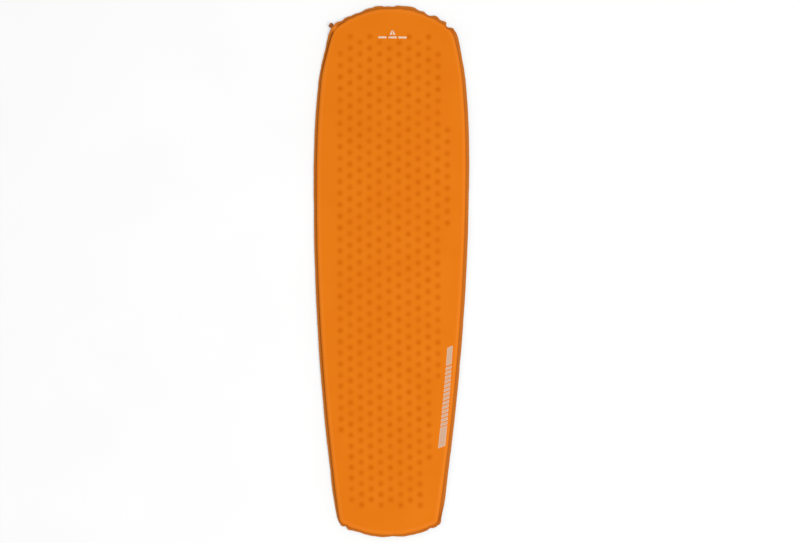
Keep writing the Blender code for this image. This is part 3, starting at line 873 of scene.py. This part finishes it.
def make_cover(name, side, material):
    """One fabric cover, side +1 on top or -1 underneath."""
    rings = cover_rings(side)
    grid = coons(rings[-1][:, :2])
    inside = grid[1:-1, 1:-1].reshape(-1, 2)
    x = np.concatenate([r[:, 0] for r in rings] + [inside[:, 0]])
    y = np.concatenate([r[:, 1] for r in rings] + [inside[:, 1]])
    flat = np.full(len(inside), side * THICKNESS / 2)
    z = MIDDLE + np.concatenate([r[:, 2] for r in rings] + [flat])
    inset = np.concatenate([np.repeat(COVER_INSETS, STATIONS), np.full(len(inside), 1.0)])
    panel = np.clip((inset - SWELL_INSET) / SWELL_REACH, 0, 1)
    z -= side * DIP_DEPTHS[side] * over_holes(x, y, DIP_R, 0.8, 1.15, HOLE_SEED)
    z += side * SWELL * panel * (1 + waves(x, y, SWELL_LENGTH, SWELL_SEED))
    faces = ring_faces(STATIONS, len(rings))
    numbers = grid_indices((len(rings) - 1) * STATIONS, len(rings) * STATIONS)
    quads = np.stack([numbers[:-1, :-1], numbers[:-1, 1:], numbers[1:, 1:], numbers[1:, :-1]], axis=-1)
    faces += [tuple(q) for q in quads.reshape(-1, 4).tolist()]
    if side < 0:
        faces = [face[::-1] for face in faces]
    cover = add_mesh(name, np.column_stack([x, y, z]), faces, material)
    flange = np.concatenate([np.repeat(COVER_FLANGE, STATIONS), np.zeros(len(inside))])
    aside, out = valve_local(x, y)
    boot = patch(aside, out, *BOOT_PATCH)
    set_attribute(cover, "boot", patch(aside, out, *PALE_PATCH))
    # Painted shade in the crease, strongest on the left side and beside the valve
    shade = np.interp(NORMAL[:, 0], (-1, 0, 1), CREASE_SHADES)
    shade += WIDE_WELD_SHADE * beside_valve()
    painted_crease_shade = np.concatenate([np.outer(COVER_CREASE_SHADE, shade).ravel(), np.zeros(len(inside))])
    # Painted highlight along the roll, partly stretched cloth
    stretch = np.concatenate([np.repeat(COVER_STRETCH_HIGHLIGHT, STATIONS), np.zeros(len(inside))])
    set_attribute(cover, "flange", flange * (1 - boot))
    set_attribute(cover, "painted_crease_shade", painted_crease_shade * (1 - boot))
    set_attribute(cover, "stretch", stretch)
    # Darker over the holes: cloth with no foam behind it, and painted shade in the dips
    set_attribute(cover, "hole_backing_and_shade", over_holes(x, y, SHADE_R, 0.75, 1.1, HOLE_SEED))
    return cover


def make_weld_film(material):
    """Thin film between the covers all round the flange, open where the valve's base sits."""
    rings = flange_rings(FILM_HALF)[1:] + flange_rings(-FILM_HALF)[:0:-1]
    points = np.concatenate(rings) + (0, 0, MIDDLE)
    faces = ring_faces(STATIONS, len(rings))
    last = (len(rings) - 1) * STATIONS
    faces += [(last + k, last + (k + 1) % STATIONS, (k + 1) % STATIONS, k) for k in range(STATIONS)]
    aside, out = valve_local(points[:, 0], points[:, 1])
    blocked = (np.abs(aside) < BASE_WIDTH / 2 + FILM_GAP) & (np.abs(out) < BOOT_LENGTH)
    faces = [face for face in faces if not blocked[list(face)].any()]
    film = add_mesh("weld_film", points, faces, material)
    bm = bmesh.new()
    bm.from_mesh(film.data)
    bmesh.ops.delete(bm, geom=[v for v in bm.verts if not v.link_faces], context="VERTS")
    bmesh.ops.holes_fill(bm, edges=[e for e in bm.edges if e.is_boundary])
    bm.to_mesh(film.data)
    bm.free()
    return film


def make_foam(material):
    """Sheet of foam with its die-cut holes, as one flat shape with thickness."""
    curve = bpy.data.curves.new("foam_sheet", "CURVE")
    curve.dimensions = "2D"
    curve.fill_mode = "BOTH"
    curve.extrude = THICKNESS / 2 - FOAM_GAP
    turns = [2 * math.pi * k / HOLE_SIDES for k in range(HOLE_SIDES)]
    loops = [ring(FOAM_INSET)[::3]]
    loops += [[(x + HOLE_R * math.cos(a), y + HOLE_R * math.sin(a)) for a in turns] for x, y in HOLES]
    for loop in loops:
        spline = curve.splines.new("POLY")
        spline.points.add(len(loop) - 1)
        for point, place in zip(spline.points, loop):
            point.co = (place[0], place[1], 0, 1)
        spline.use_cyclic_u = True
    shape = bpy.data.objects.new("foam_shape", curve)
    bpy.context.scene.collection.objects.link(shape)
    bpy.context.view_layer.update()
    mesh = bpy.data.meshes.new_from_object(shape.evaluated_get(bpy.context.evaluated_depsgraph_get()))
    bpy.data.objects.remove(shape, do_unlink=True)
    bm = bmesh.new()
    bm.from_mesh(mesh)
    bmesh.ops.remove_doubles(bm, verts=bm.verts, dist=0.001 * MM)
    bmesh.ops.translate(bm, verts=bm.verts, vec=(0, 0, MIDDLE))
    bm.to_mesh(mesh)
    bm.free()
    mesh.materials.append(material)
    foam = bpy.data.objects.new("foam_sheet", mesh)
    bpy.context.scene.collection.objects.link(foam)
    return foam


# ---------------------------------------------------------------- valve

def valve_point(aside, up, out):
    return SEAT + ASIDE * aside + Vector((0, 0, up)) + OUT * out


def turned(name, profile, material, flute_depth=0.0):
    """Closed turned piece on the valve's axis from (radius, out, fluted share) points."""
    points = []
    for radius, out, fluted in profile:
        for step in range(TURN_STEPS):
            angle = 2 * math.pi * step / TURN_STEPS
            groove = max(0.0, -math.cos(angle * FLUTES)) ** 1.5
            r = radius - flute_depth * fluted * groove
            points.append(valve_point(r * math.cos(angle), r * math.sin(angle), out))
    count = len(profile)
    faces = []
    for p in range(count):
        below, above = p * TURN_STEPS, (p + 1) % count * TURN_STEPS
        for k in range(TURN_STEPS):
            after = (k + 1) % TURN_STEPS
            faces.append((below + k, above + k, above + after, below + after))
    piece = add_mesh(name, points, faces, material)
    bm = bmesh.new()
    bm.from_mesh(piece.data)
    bmesh.ops.recalc_face_normals(bm, faces=bm.faces)
    bm.to_mesh(piece.data)
    bm.free()
    piece.data.shade_smooth()
    piece.data.set_sharp_from_angle(angle=math.radians(50))
    return piece


def quarter(radius, out, fillet, first, fluted):
    """Profile points of a rounded corner whose arc is centred at that radius and height."""
    turns = [math.radians(first - 90 * step / FILLET_STEPS) for step in range(FILLET_STEPS + 1)]
    return [(radius + fillet * math.cos(t), out + fillet * math.sin(t), fluted * math.cos(t)) for t in turns]


def make_cap(material):
    """Fluted screw cap with rounded ends and a mouth in its end face."""
    side_top = (CAP_R, CAP_TOP - CAP_FILLET - CAP_BEVEL, 1.0)
    side_bottom = (CAP_R, CAP_BOTTOM + CAP_FOOT_FILLET + CAP_BEVEL, 1.0)
    profile = quarter(CAP_R - CAP_FILLET, CAP_TOP - CAP_FILLET, CAP_FILLET, 90, 1.0)
    profile += [side_top, side_bottom]
    profile += quarter(CAP_R - CAP_FOOT_FILLET, CAP_BOTTOM + CAP_FOOT_FILLET, CAP_FOOT_FILLET, 0, 1.0)
    profile += [
        (CAP_BORE_R, CAP_BOTTOM, 0.0), (CAP_BORE_R, CAP_ROOF, 0.0), (MOUTH_R, CAP_ROOF, 0.0),
        (MOUTH_R, CAP_TOP - CAP_BEVEL - MOUTH_LIP, 0.0), (MOUTH_R + MOUTH_LIP, CAP_TOP - CAP_BEVEL, 0.0),
        (DISH_RADII[0], CAP_TOP - CAP_BEVEL, 0.0), (DISH_RADII[1], CAP_TOP, 0.0),
    ]
    return turned("fluted_cap", profile, material, FLUTE_DEPTH)


# ---------------------------------------------------------------- printed marks

def draped_patch(name, outlines, material, cover, rise=0.1 * MM):
    """Thin printed shapes laid on the cover: each outline is a convex polygon in X and Y."""
    tree = BVHTree.FromObject(cover, bpy.context.evaluated_depsgraph_get())
    bm = bmesh.new()
    for outline in outlines:
        corners = [bm.verts.new((x, y, 0)) for x, y in outline]
        bm.faces.new(corners)
    bmesh.ops.recalc_face_normals(bm, faces=bm.faces)
    bmesh.ops.triangulate(bm, faces=bm.faces)
    for _ in range(6):
        long_edges = [e for e in bm.edges if e.calc_length() > INK_EDGE]
        if not long_edges:
            break
        bmesh.ops.subdivide_edges(bm, edges=long_edges, cuts=1)
        bmesh.ops.triangulate(bm, faces=bm.faces)
    for face in bm.faces:
        if face.normal.z < 0:
            face.normal_flip()
    for vert in bm.verts:
        hit = tree.ray_cast(Vector((vert.co.x, vert.co.y, 1.0)), Vector((0, 0, -1)))[0]
        vert.co.z = hit.z + rise
    mesh = bpy.data.meshes.new(name)
    bm.to_mesh(mesh)
    bm.free()
    mesh.materials.append(material)
    patch = bpy.data.objects.new(name, mesh)
    bpy.context.scene.collection.objects.link(patch)
    ink = patch.modifiers.new("ink", "SOLIDIFY")
    ink.thickness = INK_THICKNESS
    ink.offset = 1
    return patch


def bar(x, y):
    """Corners of a bar centred at x, y, its length along X."""
    middle, along, across = Vector((x, y)), Vector((BAR_LENGTH / 2, 0)), Vector((0, BAR_WIDTH / 2))
    return [tuple(middle + a * along + b * across) for a, b in ((-1, -1), (1, -1), (1, 1), (-1, 1))]


def head_mark():
    """A small tent over a row of three plain bars."""
    top, bottom = HEAD_MARK_Y + TENT_TOP, HEAD_MARK_Y + TENT_BOTTOM
    tent = [[(side * TENT_HALF_WIDTH, bottom), (side * TENT_RIDGE, top), (side * TENT_SLIT, bottom)]
            for side in (-1, 1)]
    return tent + [bar(step * BAR_PITCH, HEAD_MARK_Y - BAR_DROP) for step in (-1, 0, 1)]


def side_mark(top, bottom, grow=0.0):
    """Corners of one slanted block of the side strip, between two Y values."""
    def corner(y, share):
        inset = np.interp(y, SIDE_MARK_ENDS, SIDE_MARK_INSETS)
        width = np.interp(y, SIDE_MARK_ENDS, SIDE_MARK_WIDTHS)
        side = 1 if share < 0.5 else -1
        return (half_width(y) - inset - share * width + side * grow, y - SIDE_MARK_SLANT * share)

    return [corner(top + grow, 0), corner(top + grow, 1), corner(bottom - grow, 1), corner(bottom - grow, 0)]


def side_marks(grow=0.0):
    """A strip along the right-hand edge: a long block, a row of short ones and a long one."""
    foot, head = SIDE_MARK_ENDS
    shapes = [side_mark(head, head - LONG_BLOCKS[1], grow), side_mark(foot + LONG_BLOCKS[0], foot, grow)]
    for k in range(SHORT_BLOCKS):
        top = head - LONG_BLOCKS[1] - BLOCK_GAP - k * SHORT_PITCH
        shapes.append(side_mark(top, top - SHORT_BLOCK, grow))
    return shapes


# ---------------------------------------------------------------- stage

def area_light(name, place, size, power):
    """Rectangular light that faces the middle of the floor."""
    data = bpy.data.lights.new(name, "AREA")
    data.shape = "RECTANGLE"
    data.size, data.size_y = size
    data.energy = power
    light = bpy.data.objects.new(name, data)
    bpy.context.scene.collection.objects.link(light)
    light.location = place
    light.rotation_euler = (-Vector(place)).to_track_quat("-Z", "Y").to_euler()


def make_stage():
    corners = [(x * FLOOR_HALF, y * FLOOR_HALF, 0) for x, y in ((-1, -1), (1, -1), (1, 1), (-1, 1))]
    floor = add_mesh("floor", corners, [(0, 1, 2, 3)], floor_material())
    floor.location.z = cad_low.z - FLOOR_GAP
    world = bpy.data.worlds.new("studio")
    world.use_nodes = True
    background = world.node_tree.nodes["Background"]
    background.inputs["Color"].default_value = (1, 1, 1, 1)
    background.inputs["Strength"].default_value = WORLD_STRENGTH
    bpy.context.scene.world = world
    bpy.context.scene.view_settings.view_transform = "Standard"
    area_light("key", KEY_PLACE, KEY_SIZE, KEY_POWER)


def make_camera():
    data = bpy.data.cameras.new("camera")
    data.lens = CAMERA_LENS
    data.sensor_width = 36
    camera = bpy.data.objects.new("camera", data)
    bpy.context.scene.collection.objects.link(camera)
    camera.location = CAMERA_PLACE
    camera.rotation_euler = (0, 0, CAMERA_TURN)
    bpy.context.scene.camera = camera


# ---------------------------------------------------------------- assembly

def place(piece, body, slot, *nodes):
    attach(piece, body)
    if nodes:
        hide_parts(*nodes)
    return piece


make_stage()
make_camera()

top = place(make_cover("top_cover", 1, top_fabric()), "mat", "top_fabric", "top_skin")
bottom = place(make_cover("bottom_cover", -1, bottom_fabric()), "mat", "bottom_fabric", "bottom_skin")
film = place(make_weld_film(film_material()), "mat", "weld_film", "edge_weld")
foam = place(make_foam(foam_material()), "mat", "foam", "foam_core")
cap = place(make_cap(plastic("cap_plastic", linear(160, 86, 14), linear(142, 72, 8), 0.42)),
            "cap", "cap_plastic", "valve_cap")

pale = print_material("print_pale", linear(236, 214, 190), linear(235, 170, 110))
tan = print_material("print_tan", linear(208, 172, 146), linear(222, 150, 90))
place(draped_patch("head_mark", head_mark(), pale, top), "mat", "top_fabric")
place(draped_patch("side_mark_edges", side_marks(SIDE_MARK_RIM), pale, top), "mat", "top_fabric")
place(draped_patch("side_marks", side_marks(), tan, top, rise=0.25 * MM), "mat", "top_fabric")

for node, material in (
        ("valve_stem", plastic("stem_plastic", linear(176, 98, 34), linear(150, 80, 24), 0.42)),
        ("valve_plug", plastic("plug_plastic", linear(58, 56, 56), linear(44, 43, 43), 0.42)),
        ("crumb_screen", plastic("screen_plastic", linear(225, 222, 214), linear(205, 202, 194), 0.5)),
        ("stem_o_ring", plastic("o_ring_rubber", linear(38, 38, 38), linear(28, 28, 28), 0.62)),
        ("cap_seal", plastic("seal_rubber", linear(38, 38, 38), linear(28, 28, 28), 0.62))):
    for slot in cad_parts[node].material_slots:
        slot.material = material
